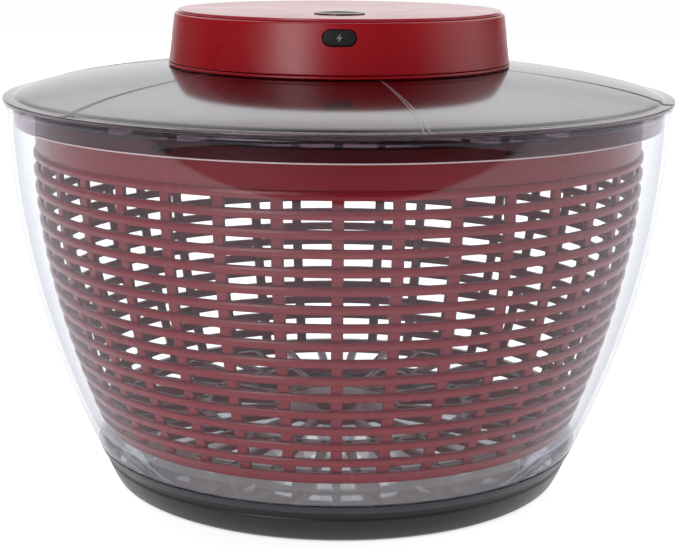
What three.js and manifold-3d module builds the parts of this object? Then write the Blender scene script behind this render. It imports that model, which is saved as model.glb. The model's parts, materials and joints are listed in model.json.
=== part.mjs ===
// Rechargeable salad spinner: clear bowl, slotted basket, smoked lid and a round motor unit.
// Units are millimetres, +Z is up, and the origin is the middle of the foot ring's flat underside.
// The front of the object, with the charging port, faces -Y.

import * as THREE from 'three';
import { mergeVertices } from 'three/addons/utils/BufferGeometryUtils.js';
import Module from 'manifold-3d';

const wasm = await Module();
wasm.setup();

// ---------------------------------------------------------------- driving dimensions

const runningGap = 0.3;          // between pieces that touch or nest
const roundSegments = 40;        // facets round the large turned pieces
const smallSegments = 20;        // facets round the small turned pieces

// Bowl
const bowlHeight = 154.2;        // table to the top of the lip
const bowlTopRadius = 130.8;     // outside, under the lip
const footRadius = 90.2;         // outside, at the table
const bowlWall = 2.0;
const bowlLipOverhang = 1.1;
const bowlLipThickness = 1.8;
const bowlFloorTop = 6.5;
const bowlFloorCorner = 12.2;    // from the foot's radius in to the flat of the floor
const bowlCornerHeight = 21.5;   // the inside wall turns into the floor over this height
const pivotRadius = 6.2;
const pivotReach = 2.5;          // the pivot's tip above the underside of the basket
const pivotFlare = 3.0;          // the pivot widens by this much where it meets the floor
const pivotFlareHeight = 2.0;
const pivotTipShare = 0.7;       // the blunt tip's radius, as a share of the pivot's
const pivotTipHeight = 0.8;
const bowlCornerIn = 1.5;        // control point of the inside corner, beyond the foot ring's wall
const bowlCornerUp = 2.5;        // and above the floor

// Foot ring
const ringHeight = 16.5;
const ringThickness = 2.0;
const ringUnderThickness = 3.8;
const ringUnderWidth = 13.2;     // the flat part that the bowl's floor stands on
const ringGrooveLow = 9.6;
const ringGrooveHigh = 13.0;
const ringGrooveDepth = 0.7;
const ringGrooveSlope = 1.0;
const ringGrooveLip = 0.6;
const ringEdge = 1.2;            // bevel at the table

// Basket
const basketTopClearance = 7.5;  // bowl's inside to the basket, at the lip
const basketFootClearance = 3.6; // bowl's inside to the basket, at the basket's underside
const basketLift = 18.0;         // bowl's floor to the basket's underside
const basketTopGap = 4.2;        // basket's rim to the top of the bowl's lip
const basketBand = 18.0;         // upright band above the slots
const basketWall = 3.0;
const basketFloorThickness = 2.6;
const basketCurve = 1.8;         // exponent of the wall's curve
const barCount = 36;
const barWidth = 4.2;
const slotTiers = 3;
const basketFootBand = 5.5;      // basket's underside to the lowest slots
const tierBand = 3.6;            // hoop left between two tiers of slots
const notchCount = 6;
const notchWidth = 9.0;
const notchDepth = 5.0;
const notchClearance = 0.8;      // each side of the spider's lug, and under it
const socketWall = 2.6;
const socketDrop = 2.5;          // the socket's open end below the underside of the basket
const socketRoof = 2.9;
const floorSlotWidth = 3.2;
const floorSlotCount = 18;
const outerSlots = [0.62, 0.92]; // from and to, as shares of the floor's radius
const innerSlots = [0.24, 0.56];

// Lid
const lidRimOverhang = 1.7;      // beyond the bowl's upper wall
const lidRimThickness = 1.6;
const lidRimFlat = 4.2;
const lidStep = 1.0;             // short riser between the flat rim and the dome
const lidStepRun = 1.1;
const lidWall = 2.0;
const lidRise = 11.2;            // top of the rim to the flat seat of the motor unit
const lidKneeInset = 22.5;       // from the rim's edge in to the dome's control point
const lidKneeDrop = 3.9;
const skirtClearance = 0.8;
const skirtThickness = 1.8;
const skirtDepth = 8.6;          // below the underside of the rim
const skirtRoot = 0.4;           // the skirt's inside runs this far up past the rim's underside
const lidSeatInset = 1.5;        // flat seat's edge inside the motor unit's foot

// Motor housing
const housingFootRadius = 67.5;
const housingDraft = 2.3;        // the side leans in by this much over its height
const housingHeight = 21.7;      // lid seat to the top of the panel
const housingWall = 2.2;
const flangeThickness = 1.0;
const flangeOverhang = 0.2;
const shoulderRadius = 1.4;
const shoulderShare = 0.3;       // where the shoulder's middle point lies, as a share of its radius
const panelThickness = 1.0;
const panelInset = 1.4;
const panelEdge = 0.3;
const topWall = 1.5;
const tubInset = 10.5;           // from the foot's radius in to the tub that passes through the lid
const tubCorner = 3.0;
const tubWall = 2.0;
const tubFloor = 2.2;
const sealBossDepth = 3.0;
const sealBossWall = 4.0;
const housingScrewInset = 6.7;   // from the foot's radius in to the ring of screws
const housingScrewCount = 4;
const housingBossRadius = 3.2;
const housingScrewDepth = 7.0;
const screwHoleSpare = 2.0;      // hole deeper than its screw

// Power button
const buttonRadius = 9.6;
const buttonForward = 33;        // distance of the button from the axis, towards the front
const buttonTravel = 0.8;
const buttonProud = 0.5;         // cap's top above the panel's face
const buttonFlange = 1.5;
const buttonFlangeThickness = 1.0;
const buttonStemRadius = 2.0;
const buttonStemLength = 0.7;
const buttonEdge = 0.4;
const buttonDishShare = 0.8;     // the dished middle, as a share of the cap's radius
const buttonDishEdge = 0.3;      // depth of the dish at its edge
const buttonDish = 0.5;          // depth of the dish in the middle
const plungerSeat = 0.4;         // plunger's lower end under the top of the switch
const switchSide = 6.0;

// Charging port
const portWidth = 12.1;
const portHeight = 5.7;
const portCentreBelowTop = 6.7;
const portCoverThickness = 1.6;
const socketWidth = 8.94;
const socketHeight = 3.26;
const socketDepth = 7.4;
const socketWallThickness = 0.35;
const socketBack = 1.0;
const tongueInset = 1.5;         // tongue shorter than the socket
const tongueShare = 0.7;         // tongue's width, as a share of the socket's
const tongueThickness = 0.7;

// Gear train: pinion and small idler wheel have the same teeth, as have the two large wheels
const gearModule = 1.0;
const smallTeeth = 12;
const largeTeeth = 36;
const toothTip = 0.9;            // height of a tooth over the pitch circle, in modules
const toothRoot = 1.2;           // depth of a gap under it
const toothTipWidth = 0.6;
const toothRootWidth = 1.75;
const lowerGearFace = 5.0;
const upperGearFace = 4.0;
const motorMostAngle = 30;       // degrees from +X towards the cell
const shaftRadius = 3.0;
const idlerPinRadius = 2.0;
const bearingClearance = 0.15;
const bushWall = 2.0;
const bushFlange = 1.5;
const bushFlangeThickness = 0.7;
const bushBelowFloor = 2.5;      // part of the lower bush that hangs under the tub's floor plane
const sealInset = 0.2;
const shaftAbovePlate = 1.0;
const idlerPinSeat = 0.7;        // the pin's end below the tub's floor plane
const idlerPinBelowPlate = 0.5;
const gearFloorGap = 1.4;
const gearStackGap = 0.6;
const plateThickness = 2.0;
const plateClearance = 4.0;      // tub's inside to the plate
const postRadius = 3.5;
const postInset = 9.0;           // tub's inside to the middle of a post
const postAngles = [180, -90, 5];
const postHoleDepth = 8.0;
const postScrewReach = 6.0;

// Motor
const motorRadius = 13.5;
const motorLength = 16;
const motorCanWall = 0.8;
const magnetThickness = 2.4;
const armatureRadius = 8.8;
const motorShaftRadius = 1.15;
const motorScrewSpacing = 16;
const motorHeadroom = 3.9;       // motor's can to the housing's ceiling
const motorMouth = 1.0;          // round the motor's shaft, in the can's end
const motorPlateMouth = 3.0;     // and in the gear plate
const motorTapDepth = 2.0;
const motorScrewReach = 0.4;     // the screws' ends inside the can's end
const motorShaftTail = 0.6;      // above the can
const motorShaftTip = 0.5;       // below the pinion
const motorCapDepth = 1.5;
const motorCapInset = 0.2;
const magnetHalfAngle = 70;
const magnetLow = 3.2;           // the magnets' lower ends above the can's lower end
const magnetHigh = 3.5;          // and their upper ends below its upper end
const armatureInset = 4.0;       // the armature's ends inside the can's
const terminalSize = [0.8, 3, 3.2];
const terminalAcross = 8.0;
const terminalRise = 0.6;

// Battery and circuit board
const cellRadius = 9.2;
const cellLength = 65;
const cellCapHeight = 1.0;
const cellCapInset = 3.5;
const cellClearance = 0.62;      // cell's ends to the tub's inside
const motorOverCell = 0.3;       // the motor's side reaches this far over the cell, which curves away there
const boardWidth = 40;
const boardBehindButton = 14.2;  // from the button's middle to the board's back edge
const boardSocketGap = 1.5;
const boardScrewInset = 4.5;
const boardScrewReach = 3.5;     // into the housing's bosses
const boardThickness = 1.6;
const boardTabMargin = 3.0;      // the tab under the charging socket is wider than it by this much
const boardTabLength = 8.0;
const leadRadius = 0.8;

// Drive spider
const spiderHubWall = 5.5;
const spiderHubHeight = 6.5;
const spiderHubFloor = 3.0;
const spiderWeb = 2.0;
const spiderRimInset = 0.5;      // inside the basket's outer radius
const spiderTubClearance = 0.5;  // under the corner of the tub
const spiderRimWidth = 9;
const spiderArmWidth = 9;
const spiderWebDrop = 1.0;       // hub's top to the web's
const spiderWindowInner = 5.0;   // hub to the openings between the arms
const spiderWindowOuter = 1.0;   // openings to the rim
const spiderScrewGrip = 1.5;

// Screws
const screwShankRadius = 1.5;
const screwHeadRadius = 2.8;
const screwHeadHeight = 1.9;
const screwHeadCrown = 0.7;      // top of the head, as a share of its radius
const screwHeadSide = 0.5;       // height of its side, as a share of its height
const screwPoint = 1.0;

// Joining and cutting
const bite = 0.5;                // joined shapes run this far into each other
const past = 1.0;                // a cutter reaches this far past the face it opens

// ---------------------------------------------------------------- heights and places

const basketBottom = bowlFloorTop + basketLift;
const basketTop = bowlHeight - basketTopGap;
const pivotTop = basketBottom + pivotReach;
const basketStraightFrom = basketTop - basketBand;
const basketTopRadius = bowlTopRadius - bowlWall - basketTopClearance;
const basketFootRadius = bowlOutside(basketBottom) - bowlWall - basketFootClearance;
const slotBottom = basketBottom + basketFootBand;
const lidRimRadius = bowlTopRadius + lidRimOverhang;
const lidRimUnderside = bowlHeight + runningGap;
const lidRimTop = lidRimUnderside + lidRimThickness;
const lidSeatHeight = lidRimTop + lidRise;
const skirtRadius = bowlTopRadius - bowlWall - skirtClearance;
const skirtBottom = lidRimUnderside - skirtDepth;
const lidSeatRadius = housingFootRadius - lidSeatInset;
const housingTopRadius = housingFootRadius - housingDraft;
const housingScrewCircle = housingFootRadius - housingScrewInset;
const tubRadius = housingFootRadius - tubInset;
const tubInnerRadius = tubRadius - tubWall;
const flangeBottom = lidSeatHeight + runningGap;
const shellBottom = flangeBottom + flangeThickness + runningGap;
const objectTop = lidSeatHeight + housingHeight;
const panelBottom = objectTop - panelThickness;
const shellTop = panelBottom - runningGap;
const shellCeiling = shellTop - topWall;
const motorTop = shellCeiling - motorHeadroom;
const motorBottom = motorTop - motorLength;
const plateTop = motorBottom - runningGap;
const plateBottom = plateTop - plateThickness;
const upperGearTop = plateBottom - screwHeadHeight - 3 * runningGap;
const upperGearBottom = upperGearTop - upperGearFace;
const lowerGearTop = upperGearBottom - gearStackGap;
const lowerGearBottom = lowerGearTop - lowerGearFace;
const tubFloorTop = lowerGearBottom - gearFloorGap;
const tubBottom = tubFloorTop - tubFloor;
const sealBossBottom = tubBottom - sealBossDepth;
const bushRadius = shaftRadius + bushWall;
const bushFlangeRadius = bushRadius + bushFlange;
const bushBottom = tubFloorTop - bushBelowFloor;
const sealBossRadius = bushRadius + sealBossWall;
const spiderHubRadius = shaftRadius + spiderHubWall;
const plateRadius = tubInnerRadius - plateClearance;
const postCircle = tubInnerRadius - postInset;
const gearDistance = gearModule * (smallTeeth + largeTeeth) / 2;
const boardBack = boardBehindButton - buttonForward;
const portHeightCentre = objectTop - portCentreBelowTop;
const boardTop = portHeightCentre - socketHeight / 2 - runningGap;
const boardBottom = boardTop - boardThickness;
const buttonFlangeTop = shellCeiling - runningGap;
const buttonFlangeBottom = buttonFlangeTop - buttonFlangeThickness;
const stemBottom = buttonFlangeBottom - buttonStemLength;

const radians = THREE.MathUtils.degToRad;
const cellBack = Math.sqrt((tubInnerRadius - cellClearance) ** 2 - (cellLength / 2) ** 2);
const cellFront = cellBack - 2 * cellRadius;
// The motor stands clear of the cell. Both gear pairs have the same centre distance, so the shaft,
// the idler and the motor are the corners of an equilateral triangle.
const motorAcross = Math.min(
  gearDistance * Math.sin(radians(motorMostAngle)),
  cellFront + motorOverCell - motorRadius,
);
const motorAngle = THREE.MathUtils.radToDeg(Math.asin(motorAcross / gearDistance));
const idlerAngle = motorAngle - 60;
const idlerToMotor = motorAngle + 60;
const idlerPlace = onCircle(gearDistance, idlerAngle);
const motorPlace = onCircle(gearDistance, motorAngle);

function onCircle(radius, degrees) {
  return new THREE.Vector2(radius * Math.cos(radians(degrees)), radius * Math.sin(radians(degrees)));
}

// ---------------------------------------------------------------- solid helpers

// A closed surface with shared corners, no empty triangles, and its faces pointing out.
function closed(source) {
  const bare = new THREE.BufferGeometry();
  bare.setAttribute('position', source.getAttribute('position').clone());
  bare.setIndex(source.index);
  const merged = mergeVertices(bare, 1e-4);
  const index = Array.from(merged.index.array);
  const position = merged.getAttribute('position');
  const corners = [];
  let volume = 0;
  const a = new THREE.Vector3();
  const b = new THREE.Vector3();
  const c = new THREE.Vector3();
  for (let i = 0; i < index.length; i += 3) {
    const [p, q, r] = index.slice(i, i + 3);
    if (p === q || q === r || r === p) continue;
    corners.push(p, q, r);
    a.fromBufferAttribute(position, p);
    b.fromBufferAttribute(position, q);
    c.fromBufferAttribute(position, r);
    volume += a.dot(b.cross(c)) / 6;
  }
  if (volume < 0) corners.reverse();
  merged.setIndex(corners);
  return merged;
}

function toManifold(geometry) {
  const shape = closed(geometry);
  return new wasm.Manifold(new wasm.Mesh({
    numProp: 3,
    vertProperties: new Float32Array(shape.getAttribute('position').array),
    triVerts: new Uint32Array(shape.index.array),
  }));
}

function fromManifold(manifold) {
  const mesh = manifold.getMesh();
  const geometry = new THREE.BufferGeometry();
  geometry.setAttribute('position', new THREE.BufferAttribute(mesh.vertProperties, 3));
  geometry.setIndex(new THREE.BufferAttribute(mesh.triVerts, 1));
  return geometry;
}

function join(geometries) {
  return fromManifold(geometries.map(toManifold).reduce((sum, next) => sum.add(next)));
}

function cut(body, cutters) {
  return fromManifold(cutters.map(toManifold).reduce((rest, next) => rest.subtract(next), toManifold(body)));
}

// Turns a closed outline of [radius, height] points about the Z axis.
function turned(points, segments = roundSegments) {
  const outline = points.map(([radius, height]) => new THREE.Vector2(radius, height));
  if (outline[0].x > 0) outline.push(outline[0].clone());
  return new THREE.LatheGeometry(outline, segments).rotateX(Math.PI / 2);
}

function disc(radius, low, high, segments = smallSegments) {
  return turned([[0, low], [radius, low], [radius, high], [0, high]], segments);
}

function tubeRing(inner, outer, low, high, segments = smallSegments) {
  return turned([[inner, low], [outer, low], [outer, high], [inner, high]], segments);
}

function box(size, centre) {
  return new THREE.BoxGeometry(...size).translate(...centre);
}

function extruded(shape, low, high, curveSegments = 6) {
  const settings = { depth: high - low, bevelEnabled: false, curveSegments };
  return new THREE.ExtrudeGeometry(shape, settings).translate(0, 0, low);
}

function moved(geometry, place) {
  return geometry.translate(place.x, place.y, 0);
}

function turnedTo(geometry, degrees) {
  return geometry.rotateZ(radians(degrees));
}

function aroundAxis(count, make, firstAngle = 0) {
  return Array.from({ length: count }, (_, i) => turnedTo(make(), firstAngle + i * 360 / count));
}

// Points along a quadratic curve, from start to end.
function bend(start, control, end, steps) {
  const curve = new THREE.QuadraticBezierCurve(...[start, control, end].map((p) => new THREE.Vector2(...p)));
  return curve.getPoints(steps).map((p) => [p.x, p.y]);
}

// ---------------------------------------------------------------- shared curves

// Outside of the bowl and its foot ring: upright at the lip and leaning in towards the table.
function bowlOutside(height) {
  const left = 1 - height / bowlHeight;
  return footRadius + (bowlTopRadius - footRadius) * (1 - left * left);
}

function basketOutside(height) {
  const share = Math.min(Math.max((height - basketBottom) / (basketStraightFrom - basketBottom), 0), 1);
  return basketFootRadius + (basketTopRadius - basketFootRadius) * (1 - (1 - share) ** basketCurve);
}

function housingOutside(height) {
  const share = (height - shellBottom) / (shellTop - shellBottom);
  return housingFootRadius + (housingTopRadius - housingFootRadius) * share;
}

function heightsBetween(low, high, steps) {
  return Array.from({ length: steps + 1 }, (_, i) => low + (high - low) * i / steps);
}

// ---------------------------------------------------------------- bowl and foot ring

function makeBowl() {
  const rebate = ringThickness + runningGap;
  const underside = ringUnderThickness + runningGap;
  const lipUnderside = bowlHeight - bowlLipThickness;
  const insideTop = bowlTopRadius - bowlWall;
  const cornerStart = bowlFloorTop + bowlCornerHeight;
  const cornerTop = [bowlOutside(cornerStart) - bowlWall, cornerStart];
  const cornerAim = [
    bowlOutside(bowlFloorTop) - bowlWall - ringThickness + bowlCornerIn,
    bowlFloorTop + bowlCornerUp,
  ];
  return turned([
    [0, underside],
    [bowlOutside(underside) - rebate, underside],
    [bowlOutside(ringHeight) - rebate, ringHeight + runningGap],
    ...heightsBetween(ringHeight + runningGap, lipUnderside, 7).map((z) => [bowlOutside(z), z]),
    [bowlTopRadius + bowlLipOverhang, lipUnderside],
    [bowlTopRadius + bowlLipOverhang, bowlHeight],
    [insideTop, bowlHeight],
    ...heightsBetween(lipUnderside, cornerStart, 6).slice(0, -1).map((z) => [bowlOutside(z) - bowlWall, z]),
    ...bend(cornerTop, cornerAim, [footRadius - bowlFloorCorner, bowlFloorTop], 4),
    [pivotRadius + pivotFlare, bowlFloorTop],
    [pivotRadius, bowlFloorTop + pivotFlareHeight],
    [pivotRadius, pivotTop - pivotRadius / 2],
    [pivotRadius * pivotTipShare, pivotTop - pivotTipHeight],
    [0, pivotTop],
  ]);
}

function makeFootRing() {
  const seatTop = ringUnderThickness;
  const innerRadius = footRadius - ringUnderWidth;
  const insideAt = (z) => bowlOutside(z) - ringThickness;
  const lowerBand = heightsBetween(ringEdge, ringGrooveLow, 2).map((z) => [bowlOutside(z), z]);
  return turned([
    [innerRadius, 0],
    [footRadius - ringEdge, 0],
    ...lowerBand,
    [bowlOutside(ringGrooveLow + ringGrooveSlope) - ringGrooveDepth, ringGrooveLow + ringGrooveSlope],
    [bowlOutside(ringGrooveHigh) - ringGrooveDepth, ringGrooveHigh],
    [bowlOutside(ringGrooveHigh + ringGrooveLip), ringGrooveHigh + ringGrooveLip],
    [bowlOutside(ringHeight), ringHeight],
    [insideAt(ringHeight), ringHeight],
    [insideAt(seatTop), seatTop],
    [innerRadius, seatTop],
  ]);
}

// ---------------------------------------------------------------- basket

function tierPitch() {
  return (basketStraightFrom - slotBottom + tierBand) / slotTiers;
}

// Heights of the wall's corners: one in the middle of each hoop, so that a slot lies in one flat facet.
function basketWallHeights() {
  const hoops = Array.from({ length: slotTiers }, (_, i) => slotBottom + (i + 1) * tierPitch() - tierBand / 2);
  return [basketBottom, ...hoops];
}

function basketSlots() {
  const pitch = 360 / barCount;
  const cutters = [];
  for (let tier = 0; tier < slotTiers; tier += 1) {
    const low = slotBottom + tier * tierPitch();
    const high = low + tierPitch() - tierBand;
    const middle = (low + high) / 2;
    const width = 2 * basketOutside(middle) * Math.sin(radians(pitch / 2)) - barWidth;
    const depth = basketWall * 8;
    const reach = basketOutside(middle);
    const make = () => box([depth, width, high - low], [reach, 0, middle]);
    cutters.push(...aroundAxis(barCount, make, pitch / 2));
  }
  return cutters;
}

function makeBasket() {
  const innerAt = (z) => basketOutside(z) - basketWall;
  const floorTop = basketBottom + basketFloorThickness;
  const wallHeights = basketWallHeights();
  const socketInner = pivotRadius + 2 * runningGap;
  const socketTop = pivotTop + runningGap;
  const socketBottom = basketBottom - socketDrop;
  const socketOuter = socketInner + socketWall;
  const shell = turned([
    [0, socketTop],
    [socketInner, socketTop],
    [socketInner, socketBottom],
    [socketOuter, socketBottom],
    [socketOuter, basketBottom],
    ...wallHeights.map((z) => [basketOutside(z), z]),
    [basketTopRadius, basketTop],
    [basketTopRadius - basketWall, basketTop],
    ...wallHeights.slice(1).reverse().map((z) => [innerAt(z), z]),
    [innerAt(floorTop), floorTop],
    [socketOuter, floorTop],
    [socketOuter - 1, socketTop + socketRoof],
    [0, socketTop + socketRoof],
  ], barCount);
  const floorReach = basketFootRadius - basketWall;
  const floorSlot = ([from, to]) => () => box(
    [(to - from) * floorReach, floorSlotWidth, basketFloorThickness * 4],
    [(from + to) / 2 * floorReach, 0, basketBottom],
  );
  const notch = () => box(
    [basketWall * 4, notchWidth, notchDepth * 2],
    [basketTopRadius, 0, basketTop],
  );
  return cut(shell, [
    ...basketSlots(),
    ...aroundAxis(floorSlotCount, floorSlot(outerSlots)),
    ...aroundAxis(floorSlotCount / 2, floorSlot(innerSlots)),
    ...aroundAxis(notchCount, notch),
  ]);
}

// ---------------------------------------------------------------- lid

function domeCurve(drop) {
  const rimEnd = lidRimRadius - lidRimFlat;
  return bend(
    [rimEnd - lidStepRun, lidRimTop + lidStep - drop],
    [lidRimRadius - lidKneeInset, lidSeatHeight - lidKneeDrop - drop],
    [lidSeatRadius, lidSeatHeight - drop],
    6,
  );
}

function makeLid() {
  const opening = tubRadius + 2 * runningGap;
  const body = turned([
    [opening, lidSeatHeight - lidWall],
    ...domeCurve(lidWall).reverse(),
    [skirtRadius - skirtThickness, lidRimUnderside + skirtRoot],
    [skirtRadius - skirtThickness, skirtBottom],
    [skirtRadius, skirtBottom],
    [skirtRadius, lidRimUnderside],
    [lidRimRadius, lidRimUnderside],
    [lidRimRadius, lidRimTop],
    [lidRimRadius - lidRimFlat, lidRimTop],
    ...domeCurve(0),
    [opening, lidSeatHeight],
  ]);
  return cut(body, housingScrewHoles(lidSeatHeight - lidWall, lidSeatHeight));
}

function housingScrewHoles(low, high) {
  const hole = () => disc(screwShankRadius + runningGap, low - past, high + past, 8)
    .translate(housingScrewCircle, 0, 0);
  return aroundAxis(housingScrewCount, hole, 45);
}

// ---------------------------------------------------------------- motor housing

function makeHousingBase() {
  const flangeTop = flangeBottom + flangeThickness;
  const boreRadius = bushRadius + runningGap;
  const tub = turned([
    [boreRadius, sealBossBottom],
    [sealBossRadius, sealBossBottom],
    [sealBossRadius, tubBottom],
    [tubRadius - tubCorner, tubBottom],
    [tubRadius, tubBottom + tubCorner],
    [tubRadius, flangeBottom],
    [housingFootRadius + flangeOverhang, flangeBottom],
    [housingFootRadius + flangeOverhang, flangeTop],
    [tubInnerRadius, flangeTop],
    [tubInnerRadius, tubFloorTop],
    [boreRadius, tubFloorTop],
      ]);
  const posts = postAngles.map((angle) => moved(
    disc(postRadius, tubFloorTop - bite, plateBottom - runningGap, 12),
    onCircle(postCircle, angle),
  ));
  const pilotHoles = postAngles.map((angle) => moved(
    disc(screwShankRadius + runningGap, plateBottom - postHoleDepth, plateBottom + past, 8),
    onCircle(postCircle, angle),
  ));
  const pinHole = moved(
    disc(idlerPinRadius + runningGap, tubFloorTop - past, tubFloorTop + past, 12),
    idlerPlace,
  );
  return cut(join([tub, ...posts]), [
    ...pilotHoles,
    pinHole,
    ...housingScrewHoles(flangeBottom, flangeTop),
  ]);
}

function portOutline(width, height) {
  const shape = new THREE.Shape();
  const straight = (width - height) / 2;
  shape.absarc(straight, 0, height / 2, -Math.PI / 2, Math.PI / 2, false);
  shape.absarc(-straight, 0, height / 2, Math.PI / 2, Math.PI * 1.5, false);
  return shape;
}

// A pill-shaped bar along Y, between two distances in front of the axis.
function portBar(width, height, near, far) {
  const bar = new THREE.ExtrudeGeometry(
    portOutline(width, height),
    { depth: far - near, bevelEnabled: false, curveSegments: 6 },
  );
  return bar.rotateX(Math.PI / 2).translate(0, -near, portHeightCentre);
}

function makeHousingTop() {
  const inner = (z) => housingOutside(z) - housingWall;
  const shell = turned([
    [inner(shellBottom), shellBottom],
    [housingOutside(shellBottom), shellBottom],
    [housingOutside(shellTop - shoulderRadius), shellTop - shoulderRadius],
    [housingTopRadius - shoulderRadius * shoulderShare, shellTop - shoulderRadius * shoulderShare],
    [housingTopRadius - shoulderRadius, shellTop],
    [0, shellTop],
    [0, shellCeiling],
    [inner(shellCeiling), shellCeiling],
  ].reverse());
  const boss = () => disc(housingBossRadius, shellBottom, shellCeiling + bite, 12)
    .translate(housingScrewCircle, 0, 0);
  const pilotTop = shellBottom + housingScrewDepth + screwHoleSpare;
  const pilot = () => disc(screwShankRadius + runningGap, shellBottom - past, pilotTop, 8)
    .translate(housingScrewCircle, 0, 0);
  const boardBosses = boardScrewPlaces().map((place) => moved(
    disc(housingBossRadius, boardTop + runningGap, shellCeiling + bite, 12),
    place,
  ));
  const boardPilots = boardScrewPlaces().map((place) => moved(
    disc(screwShankRadius + runningGap, boardTop - past, boardTop + boardScrewReach + past, 8),
    place,
  ));
  const buttonHole = disc(buttonRadius + runningGap, shellCeiling - past, shellTop + past, 24)
    .translate(0, -buttonForward, 0);
  const gap = 2 * runningGap;
  const portDepth = 3 * housingWall;
  const portHole = portBar(
    portWidth + gap,
    portHeight + gap,
    housingTopRadius - portDepth,
    housingFootRadius + past,
  );
  return cut(join([shell, ...aroundAxis(housingScrewCount, boss, 45), ...boardBosses]), [
    ...aroundAxis(housingScrewCount, pilot, 45),
    ...boardPilots,
    buttonHole,
    portHole,
  ]);
}

function makeTopPanel() {
  const radius = housingTopRadius - panelInset;
  const panel = turned([
    [0, panelBottom],
    [radius, panelBottom],
    [radius, objectTop - panelEdge],
    [radius - panelEdge, objectTop],
    [0, objectTop],
  ]);
  const hole = disc(buttonRadius + runningGap, panelBottom - past, objectTop + past, 24)
    .translate(0, -buttonForward, 0);
  return cut(panel, [hole]);
}

// ---------------------------------------------------------------- power button and switch

function makePowerButton() {
  const capTop = objectTop + buttonProud;
  return turned([
    [0, stemBottom],
    [buttonStemRadius, stemBottom],
    [buttonStemRadius, buttonFlangeBottom],
    [buttonRadius + buttonFlange, buttonFlangeBottom],
    [buttonRadius + buttonFlange, buttonFlangeTop],
    [buttonRadius, buttonFlangeTop],
    [buttonRadius, capTop - buttonEdge],
    [buttonRadius - buttonEdge, capTop],
    [buttonRadius * buttonDishShare, capTop - buttonDishEdge],
    [0, capTop - buttonDish],
  ], 24);
}

function switchHeights() {
  const plungerTop = stemBottom - runningGap;
  const bodyTop = plungerTop - buttonTravel - runningGap;
  return { plungerTop, bodyTop };
}

function makeSwitchPlunger() {
  const { plungerTop, bodyTop } = switchHeights();
  return disc(buttonStemRadius - runningGap, bodyTop - plungerSeat, plungerTop, 12);
}

function makePowerSwitch() {
  const { bodyTop } = switchHeights();
  const bottom = boardTop + runningGap;
  const body = box([switchSide, switchSide, bodyTop - bottom], [0, 0, (bodyTop + bottom) / 2]);
  const wellBottom = bodyTop - plungerSeat - buttonTravel - runningGap;
  return cut(body, [disc(buttonStemRadius, wellBottom, bodyTop + past, 12)]);
}

// ---------------------------------------------------------------- charging port

function makePortCover() {
  const face = housingOutside(portHeightCentre);
  return portBar(portWidth, portHeight, face - portCoverThickness, face);
}

function makeChargeSocket() {
  const mouth = housingOutside(portHeightCentre) - housingWall - runningGap;
  const outer = portBar(socketWidth, socketHeight, mouth - socketDepth, mouth);
  const wall = 2 * socketWallThickness;
  const back = mouth - socketDepth + socketBack;
  const hollow = portBar(socketWidth - wall, socketHeight - wall, back, mouth + past);
  const tongueDepth = socketDepth - tongueInset;
  const tongue = box(
    [socketWidth * tongueShare, tongueDepth, tongueThickness],
    [0, -(mouth - socketDepth + socketBack - bite + tongueDepth / 2), portHeightCentre],
  );
  return join([cut(outer, [hollow]), tongue]);
}

// ---------------------------------------------------------------- circuit board

function boardScrewPlaces() {
  const across = boardWidth / 2 - boardScrewInset;
  return [-1, 1].map((side) => new THREE.Vector2(side * across, boardBack - boardScrewInset));
}

function boardFront() {
  return -(housingOutside(portHeightCentre) - housingWall - socketDepth - boardSocketGap);
}

function makeCircuitBoard() {
  const front = boardFront();
  const middle = boardTop - boardThickness / 2;
  const board = box([boardWidth, boardBack - front, boardThickness], [0, (front + boardBack) / 2, middle]);
  const tabPlace = [0, front + bite - boardTabLength / 2, middle];
  const tab = box([socketWidth + boardTabMargin, boardTabLength, boardThickness], tabPlace);
  const holes = boardScrewPlaces().map((place) => moved(
    disc(screwShankRadius + runningGap, boardBottom - past, boardTop + past, 8),
    place,
  ));
  return cut(join([board, tab]), holes);
}

// ---------------------------------------------------------------- gears, shafts and bearings

// Straight-sided teeth on the pitch circle, thin enough to run with backlash. One tooth points at phase.
function gearShape(teeth, boreRadius, phase) {
  const pitch = gearModule * teeth / 2;
  const tip = pitch + gearModule * toothTip;
  const root = pitch - gearModule * toothRoot;
  const step = 360 / teeth;
  const half = (width, radius) => THREE.MathUtils.radToDeg(width * gearModule / 2 / radius);
  const points = [];
  for (let i = 0; i < teeth; i += 1) {
    const middle = phase + i * step;
    points.push(
      onCircle(root, middle - half(toothRootWidth, root)),
      onCircle(tip, middle - half(toothTipWidth, tip)),
      onCircle(tip, middle + half(toothTipWidth, tip)),
      onCircle(root, middle + half(toothRootWidth, root)),
    );
  }
  const shape = new THREE.Shape(points);
  const bore = new THREE.Path();
  bore.absarc(0, 0, boreRadius, 0, Math.PI * 2, true);
  shape.holes.push(bore);
  return shape;
}

function makeOutputGear() {
  return extruded(gearShape(largeTeeth, shaftRadius + runningGap, idlerAngle), lowerGearBottom, lowerGearTop);
}

function makeIdlerGear() {
  const bore = idlerPinRadius + bearingClearance;
  const gapAtShaft = idlerAngle + 180 + 180 / smallTeeth;
  const lower = extruded(gearShape(smallTeeth, bore, gapAtShaft), lowerGearBottom, upperGearBottom + bite);
  const upper = extruded(gearShape(largeTeeth, bore, idlerToMotor), upperGearBottom, upperGearTop);
  return join([lower, upper]);
}

function makePinion() {
  const gapAtIdler = idlerToMotor + 180 + 180 / smallTeeth;
  const shape = gearShape(smallTeeth, motorShaftRadius + runningGap, gapAtIdler);
  return extruded(shape, upperGearBottom, upperGearTop);
}

function makeDriveShaft() {
  const bottom = spiderHubBottom() + spiderHubFloor + runningGap;
  return disc(shaftRadius, bottom, plateTop + shaftAbovePlate, 16);
}

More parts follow.
